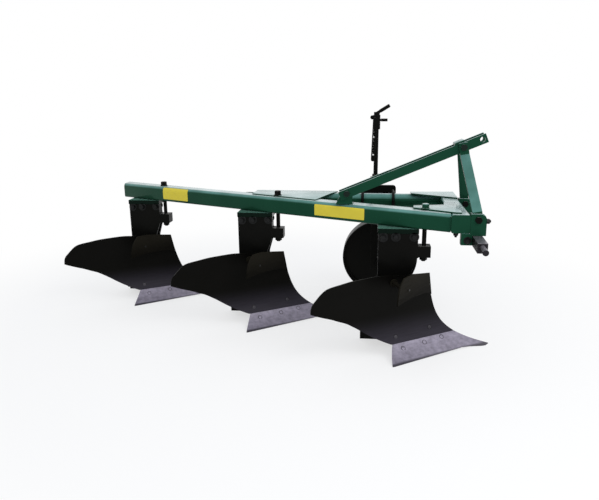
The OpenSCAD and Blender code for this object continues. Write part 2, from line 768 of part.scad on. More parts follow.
// Slotted bar beside the screw
module slotted_bar() {
  y = leg_y - sleeve_d / 2 - slot_t / 2 - seat;
  z = screw_top - slot_w - slot_l;
  color(black) translate([-leg_back - slot_w * 0.75, y, z]) rotate([0, 2, 0]) difference() {
    union() {
      translate([-slot_w / 2, -slot_t / 2, 0]) cube([slot_w, slot_t, slot_l]);
      for (z = [0, slot_l]) translate([0, 0, z]) rod_y(slot_w, -slot_t / 2, slot_t / 2);
    }
    translate([-slot_w / 6, -slot_t, slot_w]) cube([slot_w / 3, 2 * slot_t, slot_l - 2.5 * slot_w]);
  }
}

// Stub axle with its collar and cap
module stub_axle() {
  y0 = leg_y - leg_s / 2 - slot_t;
  y1 = collar_y + hub_l + 2 + collar_t;
  color(grey) translate([-wheel_back, 0, wheel_r]) {
    rod_y(axle_d, y0, y1);
    rod_y(axle_d + 2 * collar_t, y0, y0 + slot_t - seat);
    rod_y(axle_d + 2 * collar_t, collar_y - collar_t, collar_y);
    rod_y(axle_d + 2 * collar_t, y1 - collar_t, y1);
  }
}

// Rim of the gauge wheel
module wheel_rim() {
  color(grey) translate([-wheel_back, wheel_y - wheel_w / 2, wheel_r]) rotate([-90, 0, 0])
    rotate_extrude() polygon([[wheel_r - rim_t, 0], [wheel_r - 3, 0], [wheel_r, 4], [wheel_r, wheel_w - 4],
      [wheel_r - 3, wheel_w], [wheel_r - rim_t, wheel_w]]);
}

// Disc of the gauge wheel
module wheel_disc() {
  color(black) translate([-wheel_back, wheel_y - 20, wheel_r]) rotate([-90, 0, 0]) difference() {
    cylinder(r = wheel_r - rim_t - seat, h = disc_t);
    translate([0, 0, -1]) cylinder(d = hub_d + 2 * seat, h = disc_t + 2);
  }
}

// Hub of the gauge wheel
module wheel_hub() {
  color(black) translate([-wheel_back, 0, wheel_r]) difference() {
    rod_y(hub_d, collar_y + 1, collar_y + 1 + hub_l);
    rod_y(axle_d + 2 * run, collar_y - 1, collar_y + hub_l + 2);
  }
}

translate([-mid_x, -mid_y, 0]) {
  main_beam();
  cross_beam();
  side_tube();
  corner_gusset();
  hitch_ear(-1);  // hitch_ear_right
  hitch_ear(1);  // hitch_ear_left
  hitch_bar();
  mast_post(-1);  // mast_post_right
  mast_post(1);  // mast_post_left
  brace_bar(-1);  // brace_bar_right
  brace_bar(1);  // brace_bar_left
  brace_foot();
  mast_pin();
  foot_pin();
  post_bolt(-1);  // post_bolt_right
  post_bolt(1);  // post_bolt_left
  bracket(0);  // bracket_front
  bracket(1);  // bracket_middle
  bracket(2);  // bracket_rear
  standard(0);  // standard_front_body
  standard(1);  // standard_middle_body
  standard(2);  // standard_rear_body
  long_bolt(0);  // long_bolt_front
  long_bolt(1);  // long_bolt_middle
  long_bolt(2);  // long_bolt_rear
  mouldboard(0);  // mouldboard_front
  mouldboard(1);  // mouldboard_middle
  mouldboard(2);  // mouldboard_rear
  share(0);  // share_front
  share(1);  // share_middle
  share(2);  // share_rear
  landside(0);  // landside_front
  landside(1);  // landside_middle
  landside(2);  // landside_rear
  trash_board(0);  // trash_board_front
  trash_board(1);  // trash_board_middle
  trash_board(2);  // trash_board_rear
  wheel_clamp();
  clamp_u_bolts();
  wheel_arm();
  wheel_leg();
  leg_screw();
  screw_crank();
  slotted_bar();
  stub_axle();
  wheel_rim();
  wheel_disc();
  wheel_hub();
}
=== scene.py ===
import bpy
import bmesh
from math import cos, exp, pi, radians, sin, sqrt, tan
from mathutils import Matrix, Vector


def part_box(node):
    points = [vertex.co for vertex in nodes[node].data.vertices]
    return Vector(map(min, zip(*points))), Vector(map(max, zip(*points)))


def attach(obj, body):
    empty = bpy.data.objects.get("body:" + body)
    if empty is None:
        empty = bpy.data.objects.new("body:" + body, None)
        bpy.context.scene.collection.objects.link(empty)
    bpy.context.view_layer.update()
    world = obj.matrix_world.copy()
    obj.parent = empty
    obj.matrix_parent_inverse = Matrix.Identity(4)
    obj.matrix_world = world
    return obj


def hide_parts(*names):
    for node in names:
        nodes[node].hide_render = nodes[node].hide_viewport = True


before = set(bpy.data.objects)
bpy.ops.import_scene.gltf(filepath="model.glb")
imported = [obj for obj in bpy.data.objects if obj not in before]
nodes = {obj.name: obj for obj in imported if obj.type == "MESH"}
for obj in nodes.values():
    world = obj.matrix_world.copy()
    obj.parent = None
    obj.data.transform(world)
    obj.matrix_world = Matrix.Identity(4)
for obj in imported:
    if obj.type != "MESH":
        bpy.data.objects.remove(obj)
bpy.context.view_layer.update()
mm = 0.001
print("frame loaded:", len(nodes), "nodes")

# sizes below are mm from the nose of the front share, as in the solids' source; one shift brings them here
hitchSide = 80  # the hitch's middle, on the land side of that nose
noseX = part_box("share_front")[1].x
hitchMid = (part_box("hitch_bar")[0].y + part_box("hitch_bar")[1].y) / 2
shift = Vector((noseX, hitchMid - hitchSide * mm, 0))
bodyPitch = Vector((-780, 350, 0))
bodyStep = bodyPitch * mm
bodyNames = ["front", "middle", "rear"]
upAxis, landAxis, aheadAxis = Vector((0, 0, 1)), Vector((0, 1, 0)), Vector((1, 0, 0))


def place(x, y, z):
    return Vector((x, y, z)) * mm + shift


def srgb(code):
    parts = [int(code[i:i + 2], 16) / 255 for i in (1, 3, 5)]
    return [c / 12.92 if c <= 0.04045 else ((c + 0.055) / 1.055) ** 2.4 for c in parts] + [1.0]


def addNode(tree, kind, settings={}, links={}):
    node = tree.nodes.new("ShaderNode" + kind)
    for key, value in settings.items():
        if isinstance(key, int) or key in node.inputs:
            node.inputs[key].default_value = value
        else:
            setattr(node, key, value)
    for key, socket in links.items():
        tree.links.new(socket, node.inputs[key])
    return node


def newFinish(name):
    finish = bpy.data.materials.new(name)
    finish.use_nodes = True
    tree = finish.node_tree
    tree.nodes.clear()
    return finish, tree, addNode(tree, "TexCoord").outputs["Object"]


def noise(tree, spot, size, detail, rough=0.5):
    # the size of the pattern is in mm on the real part
    settings = {"Scale": 1 / (size * mm), "Detail": detail, "Roughness": rough}
    return addNode(tree, "TexNoise", settings, {"Vector": spot}).outputs["Fac"]


def spread(tree, value, start, end, low=0, high=1, kind="LINEAR"):
    settings = {"interpolation_type": kind, "From Min": start, "From Max": end, "To Min": low, "To Max": high}
    return addNode(tree, "MapRange", settings, {"Value": value}).outputs[0]


def blend(tree, share, first, second):
    # each of the two is a colour code or the colour of another node
    settings, links = {"data_type": "RGBA"}, {0: share}
    for slot, colour in ((6, first), (7, second)):
        if isinstance(colour, str):
            settings[slot] = srgb(colour)
        else:
            links[slot] = colour
    return addNode(tree, "Mix", settings, links).outputs[2]


def combine(tree, operation, first, second):
    return addNode(tree, "Math", {"operation": operation}, {0: first, 1: second}).outputs[0]


def heightOf(tree, vector):
    return addNode(tree, "SeparateXYZ", {}, {0: vector}).outputs["Z"]


def relief(tree, strength, height):
    return addNode(tree, "Bump", {"Strength": strength, "Distance": 1 * mm}, {"Height": height}).outputs[0]


def closeFinish(tree, settings, links):
    skin = addNode(tree, "BsdfPrincipled", settings, links)
    addNode(tree, "OutputMaterial", {}, {"Surface": skin.outputs[0]})


# camera
shot = {"place": (-619.8, -2966.2, 1259.1), "yaw": 7.0697, "pitch": 14.6762, "roll": -0.5476,
        "lens": 35.755, "sensor": 36}
yaw, pitch, roll = (radians(shot[key]) for key in ("yaw", "pitch", "roll"))
look = Vector((-sin(yaw) * cos(pitch), cos(yaw) * cos(pitch), -sin(pitch)))
level = Vector((cos(yaw), sin(yaw), 0))
upright = level.cross(look)
across = level * cos(roll) + upright * sin(roll)
upward = upright * cos(roll) - level * sin(roll)
camData = bpy.data.cameras.new("photoCamera")
camData.sensor_width = shot["sensor"]
camData.lens = shot["lens"]
camera = bpy.data.objects.new("photoCamera", camData)
turn = Matrix((across, upward, -look)).transposed().to_4x4()
camera.matrix_world = Matrix.Translation(place(*shot["place"])) @ turn
bpy.context.scene.collection.objects.link(camera)
bpy.context.scene.camera = camera
print("camera set")

midNoise = (0.3, 0.7)  # where most of a noise pattern lies
# frame green: dark glossy sides under tops painted pale as a sky reflection, partly dust
greenCoat = {"name": "greenEnamel", "deep": "#0f2d1f", "pale": "#173b2a", "paintedSheen": "#5f8a84", "dustAndGlare": "#c2d0ce",
             "worn": "#3c5347", "wear": 0.5, "rough": (0.16, 0.30), "peel": 0.05,
             "level": 0.2, "tint": (0.2, 1, 0.63, 1)}
# brackets under the beam: the frame green painted near black as shade under the beam, with the painted sheen on their
# tops
bracketCoat = {"name": "shadedGreenEnamel", "deep": "#060c09", "pale": "#0a130e", "paintedSheen": "#33594c", "dustAndGlare": "#557a6d",
               "worn": "#2b3d35", "wear": 0.4, "rough": (0.2, 0.34), "peel": 0.05,
               "level": 0.12, "tint": (0.3, 0.6, 0.45, 1)}
# pins of the hitch: greyed green, duller than the frame about them
pinCoat = {"name": "greyGreenEnamel", "deep": "#131a17", "pale": "#1d2622", "paintedSheen": "#33473f", "dustAndGlare": "#5d7068",
           "worn": "#3a433f", "wear": 0.5, "rough": (0.25, 0.4), "peel": 0.05,
           "level": 0.12, "tint": (0.4, 0.6, 0.5, 1)}
# standards, leg and wheel: near black, tops painted a little paler as a sky sheen, rubbed grey edges
blackCoat = {"name": "blackEnamel", "deep": "#050505", "pale": "#0d0d0b", "paintedSheen": "#1f1e1d", "dustAndGlare": "#5a5855",
             "worn": "#3b3936", "wear": 0.5, "rough": (0.28, 0.44), "peel": 0.06,
             "level": 0.07, "tint": (0.8, 0.8, 0.75, 1)}
# pattern sizes in mm; painted sky sheen and glare, partly dust, by how far a face turns up
weather = {"driftSize": 160, "patchSize": 45, "chipSize": 9, "paintedSheen": (0.28, 0.72), "dustAndGlare": (0.92, 0.995),
           "sheenPatchRange": (0.36, 0.64), "sheenPatchLeast": 0.6, "edgeRadius": 3.5, "edgeSamples": 6, "edge": (0.99, 0.88),
           "chip": (0.45, 0.62), "peelSize": 5}  # a real peel of 1 to 2 mm would vanish in the frame


def paintedFinish(coat):
    # sprayed enamel: slow drift of tone, painted sky sheen and glare on upturned faces (partly dust), rubbed edges,
    # orange peel
    finish, tree, spot = newFinish(coat["name"])
    drift = noise(tree, spot, weather["driftSize"], 4, 0.6)
    tone = blend(tree, drift, coat["deep"], coat["pale"])
    # painted reflection: faces that turn up are paled in patches as if lit by the sky, level ones most, partly as dust
    normal = addNode(tree, "NewGeometry").outputs["Normal"]
    facing = heightOf(tree, normal)
    sheenPatches = spread(tree, drift, *weather["sheenPatchRange"], weather["sheenPatchLeast"])
    colour = tone
    for layer in ("paintedSheen", "dustAndGlare"):
        skyFacing = spread(tree, facing, *weather[layer], kind="SMOOTHSTEP")
        colour = blend(tree, combine(tree, "MULTIPLY", skyFacing, sheenPatches), colour, coat[layer])
    # edges rubbed back, found by comparing the true and a rounded normal
    rounding = {"samples": weather["edgeSamples"], "Radius": weather["edgeRadius"] * mm}
    rounded = addNode(tree, "Bevel", rounding).outputs[0]
    agree = addNode(tree, "VectorMath", {"operation": "DOT_PRODUCT"}, {0: rounded, 1: normal}).outputs["Value"]
    edge = spread(tree, agree, *weather["edge"], 0, coat["wear"])
    chips = spread(tree, noise(tree, spot, weather["chipSize"], 5, 0.65), *weather["chip"])
    colour = blend(tree, combine(tree, "MULTIPLY", edge, chips), colour, coat["worn"])
    gloss = spread(tree, noise(tree, spot, weather["patchSize"], 6, 0.7), *midNoise, *coat["rough"])
    peel = relief(tree, coat["peel"], noise(tree, spot, weather["peelSize"], 1))
    # deep glossy paint: dark when met head on, white at a glance
    closeFinish(tree, {"Specular IOR Level": coat["level"], "Specular Tint": coat["tint"]},
                {"Base Color": colour, "Roughness": gloss, "Normal": peel})
    return finish


# mouldboards: black enamel that turns to a paler violet-grey towards the share
plateCoat = {"name": "mouldboardEnamel", "deep": "#050504", "pale": "#0b0a09", "lowTone": "#38353d",
             "lowToneTop": 0.22, "lowToneLow": 0.05, "level": 0.1, "tint": (0.5, 0.5, 0.45, 1), "rough": (0.34, 0.48)}
# trash boards: a browner, duller black that sets them off the boards behind, darker towards the bottom
trashCoat = {"name": "trashBoardEnamel", "deep": "#181612", "pale": "#211f19", "lowTone": "#0b0a08",
             "lowToneTop": 0.42, "lowToneLow": 0.30, "level": 0.02, "tint": (0.6, 0.55, 0.45, 1), "rough": (0.4, 0.55)}
# soil scours along the board in long level streaks
scour = {"driftSize": 120, "streakSize": 90, "stretch": (1, 1, 14), "range": (0.25, 0.75), "least": 0.7, "bump": 0.05}


def turnedFinish(coat):
    finish, tree, spot = newFinish(coat["name"])
    tone = blend(tree, noise(tree, spot, scour["driftSize"], 5, 0.6), coat["deep"], coat["pale"])
    # the colour shifts to the low tone from a given height down: paler on the mouldboards, darker on the trash boards
    low = spread(tree, heightOf(tree, spot), coat["lowToneTop"], coat["lowToneLow"], kind="SMOOTHSTEP")
    stretched = addNode(tree, "Mapping", {"Scale": scour["stretch"]}, {"Vector": spot}).outputs[0]
    streak = noise(tree, stretched, scour["streakSize"], 6, 0.6)
    lowered = combine(tree, "MULTIPLY", low, spread(tree, streak, *scour["range"], scour["least"]))
    colour = blend(tree, lowered, tone, coat["lowTone"])
    gloss = spread(tree, streak, *midNoise, *coat["rough"])
    closeFinish(tree, {"Specular IOR Level": coat["level"], "Specular Tint": coat["tint"]},
                {"Base Color": colour, "Roughness": gloss, "Normal": relief(tree, scour["bump"], streak)})
    return finish


# shares: pale violet-grey mill skin in clouds, with painted shade along the edge at the floor
shareCoat = {"name": "shareMillSkin", "deep": "#77727f", "pale": "#9a94a4", "rust": "#6e5547", "edge": "#2b2930",
             "cloudSize": 28, "metal": 0.35, "rough": (0.36, 0.52), "grain": (1, 1, 10)}
# hitch bar: grey rubbed steel, its sides painted dark as shade against a bright top
steelCoat = {"name": "greyBareSteel", "deep": "#6d6a72", "pale": "#98949c", "rust": "#5c4c42", "side": "#252428",
             "cloudSize": 70, "metal": 0.8, "rough": (0.32, 0.48), "grain": (1, 12, 12)}
# bolts through the boards: dark scoured heads, a little paler than the plate
headCoat = {"name": "scouredBoltHead", "deep": "#26242a", "pale": "#3d3b42", "rust": "#3a302a",
            "cloudSize": 30, "metal": 0.3, "rough": (0.36, 0.5), "grain": (1, 1, 1)}
# bolts of standards and hitch: black and oily, seen by their rims
boltCoat = {"name": "oiledBoltSteel", "deep": "#070808", "pale": "#151617", "rust": "#120f0d",
            "cloudSize": 30, "metal": 0.6, "rough": (0.3, 0.45), "grain": (1, 1, 1)}
rolled = {"streakSize": 60, "streakShare": 0.5, "range": (0.55, 0.95), "speckSize": 14, "speck": (0.64, 0.74),
          "speckMost": 0.5, "floorShadeTop": 10, "floorShadeFull": 5, "floorShadeMost": 0.85, "side": (0.7, 0.2),
          "level": 0.4, "bump": 0.08}


def metalFinish(coat):
    # rolled steel: streaky grain, cloudy mill skin, a few rust freckles
    finish, tree, spot = newFinish(coat["name"])
    stretched = addNode(tree, "Mapping", {"Scale": coat["grain"]}, {"Vector": spot}).outputs[0]
    streak = noise(tree, stretched, rolled["streakSize"], 6, 0.7)
    cloud = noise(tree, spot, coat["cloudSize"], 6, 0.65)
    both = addNode(tree, "Math", {"operation": "MULTIPLY_ADD", 1: rolled["streakShare"]}, {0: streak, 2: cloud})
    colour = blend(tree, spread(tree, both.outputs[0], *rolled["range"]), coat["deep"], coat["pale"])
    speck = noise(tree, spot, rolled["speckSize"], 4, 0.7)
    freckle = spread(tree, speck, *rolled["speck"], 0, rolled["speckMost"])
    colour = blend(tree, freckle, colour, coat["rust"])
    # painted shade: a share darkens within 10 mm of the floor, and a bar's sides are painted darker than its top
    floorShade = spread(tree, heightOf(tree, spot), rolled["floorShadeTop"] * mm, rolled["floorShadeFull"] * mm,
                    0, rolled["floorShadeMost"])
    colour = blend(tree, floorShade, colour, coat.get("edge", coat["deep"]))
    # painted shade: faces that don't turn up take the darker side colour
    if "side" in coat:
        facing = heightOf(tree, addNode(tree, "NewGeometry").outputs["Normal"])
        colour = blend(tree, spread(tree, facing, *rolled["side"]), colour, coat["side"])
    gloss = spread(tree, streak, *midNoise, *coat["rough"])
    closeFinish(tree, {"Metallic": coat["metal"], "Specular IOR Level": rolled["level"]},
                {"Base Color": colour, "Roughness": gloss, "Normal": relief(tree, rolled["bump"], streak)})
    return finish


signCoat = {"name": "yellowSignPlate", "base": "#d6c531", "faded": "#c7b62f", "fadeSize": 60,
            "rough": (0.35, 0.5), "level": 0.4}


def signFinish(coat):
    # printed vinyl: slight fading and a soft sheen
    finish, tree, spot = newFinish(coat["name"])
    fade = noise(tree, spot, coat["fadeSize"], 4)
    closeFinish(tree, {"Specular IOR Level": coat["level"]},
                {"Base Color": blend(tree, fade, coat["base"], coat["faded"]),
                 "Roughness": spread(tree, fade, *midNoise, *coat["rough"])})
    return finish


greenEnamel, bracketEnamel, pinEnamel, blackEnamel = map(paintedFinish, (greenCoat, bracketCoat, pinCoat, blackCoat))
boardEnamel, trashEnamel = map(turnedFinish, (plateCoat, trashCoat))
shareSkin, bareSteel, headSteel, boltSteel = map(metalFinish, (shareCoat, steelCoat, headCoat, boltCoat))
signYellow = signFinish(signCoat)
print("finishes made")

mergeWithin = 0.01


def makePiece(name, bm, body, finish, sharp=32):
    bmesh.ops.remove_doubles(bm, verts=bm.verts, dist=mergeWithin * mm)
    bmesh.ops.recalc_face_normals(bm, faces=bm.faces)
    mesh = bpy.data.meshes.new(name)
    bm.to_mesh(mesh)
    bm.free()
    mesh.shade_smooth()
    mesh.set_sharp_from_angle(angle=radians(sharp))
    mesh.materials.append(finish)
    piece = bpy.data.objects.new(name, mesh)
    bpy.context.scene.collection.objects.link(piece)
    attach(piece, body)
    return piece


# solids of the frame keep their shape and get broken edges; what isn't listed is black
replaced = ("mouldboard", "share", "main_beam")
nodeFinish = [(("cross_beam", "side_tube", "corner_gusset", "hitch_ear", "mast_post", "brace_"), greenEnamel),
              (("hitch_bar",), bareSteel), (("bracket",), bracketEnamel),
              (("mast_pin", "foot_pin"), pinEnamel), (("trash_board",), trashEnamel)]
edgeBreak = {"other": 1.5, "corner_gusset": 1.2, "wheel_rim": 2.0, "wheel_hub": 3.0, "hitch_bar": 2.5, "side_tube": 1.0}
nodeMesh = {"merge": 0.02, "flatAngle": 0.6, "edgeAngle": 35, "segments": 2}


def finishNode(name):
    node = nodes[name]
    finish = next((paint for starts, paint in nodeFinish if name.startswith(starts)), blackEnamel)
    for slot in node.material_slots:
        slot.link = "OBJECT"
        slot.material = finish
    weld = node.modifiers.new("weld", "WELD")
    weld.merge_threshold = nodeMesh["merge"] * mm
    flat = node.modifiers.new("flat", "DECIMATE")
    flat.decimate_type = "DISSOLVE"
    flat.angle_limit = radians(nodeMesh["flatAngle"])
    soft = node.modifiers.new("soft", "BEVEL")
    soft.width = edgeBreak.get(name, edgeBreak["other"]) * mm
    soft.segments = nodeMesh["segments"]
    soft.limit_method = "ANGLE"
    soft.angle_limit = radians(nodeMesh["edgeAngle"])
    soft.harden_normals = False
    weight = node.modifiers.new("weight", "WEIGHTED_NORMAL")
    weight.keep_sharp = False


for name in nodes:
    if not name.startswith(replaced):
        finishNode(name)
print("frame solids finished")


def vertsOf(result):
    return [g for g in result["geom"] if isinstance(g, bmesh.types.BMVert)]


def roundEdges(bm, edges, width, segments=2, clamp=False):
    bmesh.ops.bevel(bm, geom=edges, offset=width, offset_type="OFFSET", segments=segments, profile=0.5,
                    affect="EDGES", material=-1, clamp_overlap=clamp)


def within(value):
    return min(1, max(0, value))


# plough bodies: every board and share is a flat slab first, then bent by the same law as its solid;
# s runs back along the plate from its shin, z is the height
law = {"edge": 34.3, "twist": -2.2, "shinTop": 395, "back": 280, "rise": 70, "rake": 0.14, "lean": 12.2}
lean = tan(radians(law["lean"]))


def edgeAt(z):
    return radians(law["edge"] + law["twist"] * z / law["shinTop"])


def shinAt(z):
    return law["back"] * (1 - exp(-z / law["rise"])) + law["rake"] * z


def creepAt(z):
    steep = law["back"] / law["rise"] * exp(-z / law["rise"]) + law["rake"]
    return cos(edgeAt(z)) * lean - sin(edgeAt(z)) * steep


def outward(z):
    return Vector((sin(edgeAt(z)), -cos(edgeAt(z)), -creepAt(z))).normalized()


def levelDepth(z, depth):
    # how far a depth square to the plate runs level
    return depth * sqrt(1 + creepAt(z) ** 2)


def bend(s, z, depth):
    edge, deep = edgeAt(z), levelDepth(z, depth)
    return Vector((-shinAt(z) - s * cos(edge) - deep * sin(edge), -lean * z - s * sin(edge) + deep * cos(edge), z))


def alongLine(points, u):
    # smooth walk through a few corner points, even by length
    spots = [Vector(p) for p in points]
    runs = [(b - a).length for a, b in zip(spots, spots[1:])]
    left = u * sum(runs)
    i = 0
    while i < len(runs) - 1 and left > runs[i]:
        left -= runs[i]
        i += 1
    t = left / runs[i]
    p1, p2 = spots[i], spots[i + 1]
    p0 = spots[i - 1] if i > 0 else p1 * 2 - p2
    p3 = spots[i + 2] if i + 2 < len(spots) else p2 * 2 - p1
    slopes = [m * min(1, runs[i] / max(m.length, 0.001)) for m in ((p2 - p0) / 2, (p3 - p1) / 2)]
    ends = p1 * (2 * t**3 - 3 * t**2 + 1) + p2 * (3 * t**2 - 2 * t**3)
    return ends + slopes[0] * (t**3 - 2 * t**2 + t) + slopes[1] * (t**3 - t**2)


board = {"thick": 8, "cols": 52, "rows": 22, "round": 1.6,
         "seam": [(0, 68.3), (200, 68.3), (393, 68.3)],
         "under": [(393, 68.3), (409, 88), (427, 110), (448, 136), (470, 163), (488, 181), (517, 205),
                   (550, 222), (585, 240), (632, 260), (678, 282)],
         "crown": [(0, 395), (80, 400), (145, 404.2), (225, 412), (268, 417), (303, 418), (338, 417),
                   (429, 412), (490, 404), (537, 398)],
         "tail": [(678, 282), (669, 306), (656, 326), (635, 344), (609, 365), (587, 381), (564, 392), (537, 398)]}
shareSet = {"thick": 10, "cols": 48, "rows": 10, "round": 1.2, "top": 67.7, "back": 505,
            "bow": 6, "bowFrom": 50, "bowFull": 150,
            "beak": 18, "beakFull": 45, "beakEnd": 115, "beakLow": 1, "beakHigh": 7.5, "beakFade": 0.7}
rimAngle = 50
endRun = 80  # length over which the ends of a plate turn from square to flush


def slab(cols, rows, thick):
    bm = bmesh.new()
    bmesh.ops.create_grid(bm, x_segments=cols, y_segments=rows, size=0.5)
    for v in bm.verts:
        v.co = Vector((v.co.x + 0.5, v.co.y + 0.5, 0))
    for v in vertsOf(bmesh.ops.extrude_face_region(bm, geom=bm.faces[:])):
        v.co.z = thick
    return bm


def roundRim(bm, width):
    rims = [e for e in bm.edges if len(e.link_faces) == 2 and e.calc_face_angle(0) > radians(rimAngle)]
    roundEdges(bm, rims, width, clamp=True)


def shareWing(z):
    return (shareSet["back"] - shinAt(z)) / cos(edgeAt(z))


def bowAt(s):
    # the cutting edge lifts off the floor between nose and wing
    full, start, wing = shareSet["bowFull"], shareSet["bowFrom"], shareWing(0)
    return shareSet["bow"] * (within((s - start) / (full - start)) if s < full else max(0, (wing - s) / (wing - full)))


def beakAt(s, z):
    # the share's nose widens to a blunt beak along its low edge
    full, end = shareSet["beakFull"], shareSet["beakEnd"]
    along = max(0, min(s / full, (end - s) / (end - full)))
    low = max(0, 1 - max(0, z - shareSet["beakLow"]) / shareSet["beakHigh"])
    return shareSet["beak"] * along * low ** shareSet["beakFade"]


def bendSlab(bm, at, isShare):
    for v in bm.verts:
        s, z, depth = v.co
        edge, deep = edgeAt(z), levelDepth(z, depth)
        # the back runs flush with the furrow wall at the shin, and square across at the share's wing
        slide = deep / tan(edge) * (1 - within(s / endRun))
        if isShare:
            slide -= deep * tan(edge) * within(1 - (shareWing(z) - s) / endRun)
        spot = bend(s + slide, z, depth)
        if isShare:
            spot += Vector((sin(edge), -cos(edge), 0)) * beakAt(s, z)
        v.co = spot * mm + at


def boardSpot(u, v):
    # a patch between its four edges
    low = alongLine(board["seam"], u * 2) if u <= 0.5 else alongLine(board["under"], u * 2 - 1)
    high = alongLine(board["crown"], u)
    right = alongLine(board["tail"], v)
    lowLeft, lowRight = Vector(board["seam"][0]), Vector(board["tail"][0])
    highLeft, highRight = Vector(board["crown"][0]), Vector(board["tail"][-1])
    left = lowLeft.lerp(highLeft, v)
    flat = lowLeft.lerp(lowRight, u).lerp(highLeft.lerp(highRight, u), v)
    return low * (1 - v) + high * v + left * (1 - u) + right * u - flat


def makeBoard(k):
    bm = slab(board["cols"], board["rows"], board["thick"])
    for v in bm.verts:
        spot = boardSpot(v.co.x, v.co.y)
        v.co = Vector((spot.x, spot.y, v.co.z))
    roundRim(bm, board["round"])
    bendSlab(bm, shift + bodyStep * k, False)
    name = bodyNames[k]
    piece = makePiece("turningPlate" + name.capitalize(), bm, "frame", boardEnamel)
    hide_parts("mouldboard_" + name)


def makeShare(k):
    bm = slab(shareSet["cols"], shareSet["rows"], shareSet["thick"])
    for v in bm.verts:
        z = v.co.y * shareSet["top"]
        s = v.co.x * shareWing(z)
        v.co = Vector((s, z + bowAt(s) * (1 - v.co.y), v.co.z))
    roundRim(bm, shareSet["round"])
    bendSlab(bm, shift + bodyStep * k, True)
    name = bodyNames[k]
    piece = makePiece("cuttingShare" + name.capitalize(), bm, "frame", shareSkin)
    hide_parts("share_" + name)


for k in range(3):
    makeBoard(k)
    makeShare(k)
print("boards and shares made")

# fasteners: a head with its washer, or a nut on its stub, added to one mesh;
# rings have two radii as shares of the size, then two heights in mm
hexNut = {"tall": 0.62, "walls": (0, 0.82), "cap": (0.8, 1), "capWide": (0.985, 0.84), "sink": 1,
          "washer": [(0.92, 0.92, -1, 2.2), (0.91, 0.86, 2, 3)], "washerTall": 3, "washerSides": 28,
          "stub": [(0.31, 0.31), (0.3, 0.22)], "stubTip": (-0.5, 2), "stubSides": 20}
# a plough bolt's round head lies almost level with the plate, with a ring where it seats
flushHead = [(0.86, 0.8, -2, 1.1), (0.66, 0.5, 1, 1.8)]
hexSides, roundSides = 6, 32


def aim(at, axis):
    return Matrix.Translation(at) @ axis.to_track_quat("Z", "X").to_matrix().to_4x4()


def addRing(bm, at, axis, sides, r0, r1, low, high):
    turned = aim(at + axis * ((low + high) / 2 * mm), axis)
    bmesh.ops.create_cone(bm, cap_ends=True, segments=sides, radius1=r0 * mm, radius2=r1 * mm,
                          depth=(high - low) * mm, matrix=turned)


def addHex(bm, at, axis, flats, washer=True, stub=0):
    r = flats / 2 / cos(pi / 6)
    tall = flats * hexNut["tall"]
    base = hexNut["washerTall"] if washer else 0
    if washer:
        for r0, r1, low, high in hexNut["washer"]:
            addRing(bm, at, axis, hexNut["washerSides"], flats * r0, flats * r1, low, high)
    (foot, shoulder), (capFoot, capTop), (r0, r1) = hexNut["walls"], hexNut["cap"], hexNut["capWide"]
    addRing(bm, at, axis, hexSides, r, r, base + tall * foot - hexNut["sink"], base + tall * shoulder)
    addRing(bm, at, axis, hexSides, r * r0, r * r1, base + tall * capFoot, base + tall * capTop)
    if stub:
        end, (tipFoot, tipTop) = base + tall + stub, hexNut["stubTip"]
        for (r0, r1), low, high in zip(hexNut["stub"], (base, end + tipFoot), (end, end + tipTop)):
            addRing(bm, at, axis, hexNut["stubSides"], flats * r0, flats * r1, low, high)


def addFlush(bm, at, axis, r):
    for r0, r1, low, high in flushHead:
        addRing(bm, at, axis, roundSides, r * r0, r * r1, low, high)


bodyBolts = {"share": [(374, 46), (233, 50), (111, 55)], "board": [(98, 107), (320, 96)], "headR": 12, "nut": 22,
             "nutStub": 5, "seat": (-2, 0.5),
             "standard": [(-561, 577), (-500, 580), (-411, 582)], "near": -105, "land": -45, "standardHex": 26,
             "standardStub": 7, "landside": [(-470, 52), (-590, 52)], "landsideR": 13}
# the bolt that holds the trash board on its stay
trashBolt = {"foot": (-334.3, -85.4, 362), "turn": radians(57.5), "along": 205, "off": 9.5, "r": 10}


def platePair(bm, seats, at, s, z, thick):
    out, r = outward(z), bodyBolts["headR"]
    face, back = bend(s, z, 0) * mm + at, bend(s, z, thick) * mm + at
    addFlush(bm, face, out, r)
    addRing(seats, face, out, roundSides, r, r, *bodyBolts["seat"])
    addHex(bm, back, -out, bodyBolts["nut"], True, bodyBolts["nutStub"])


def makeBodyBolts(k):
    at = shift + bodyStep * k
    name = bodyNames[k].capitalize()
    bm, seats = bmesh.new(), bmesh.new()
    for s, z in bodyBolts["share"]:
        platePair(bm, seats, at, s, z, shareSet["thick"])
    makePiece("shareBolts" + name, bm, "frame", shareSkin)
    bm = bmesh.new()
    for s, z in bodyBolts["board"]:
        platePair(bm, seats, at, s, z, board["thick"])
    makePiece("boardBolts" + name, bm, "frame", headSteel)
    makePiece("boltSeats" + name, seats, "frame", blackEnamel)
    bm = bmesh.new()
    size = bodyBolts["standardHex"]
    for x, z in bodyBolts["standard"]:
        addHex(bm, Vector((x, bodyBolts["near"], z)) * mm + at, -landAxis, size)
        addHex(bm, Vector((x, bodyBolts["land"], z)) * mm + at, landAxis, size, True, bodyBolts["standardStub"])
    for x, z in bodyBolts["landside"]:
        addFlush(bm, Vector((x, 0, z)) * mm + at, landAxis, bodyBolts["landsideR"])
    turned = trashBolt["turn"]
    square = Vector((sin(turned), -cos(turned), 0))
    along = Vector((-cos(turned), -sin(turned), 0))
    spot = Vector(trashBolt["foot"]) + along * trashBolt["along"] + square * trashBolt["off"]
    addFlush(bm, spot * mm + at, square, trashBolt["r"])
    makePiece("standardBolts" + name, bm, "frame", boltSteel)


for k in range(3):
    makeBodyBolts(k)
print("body bolts made")

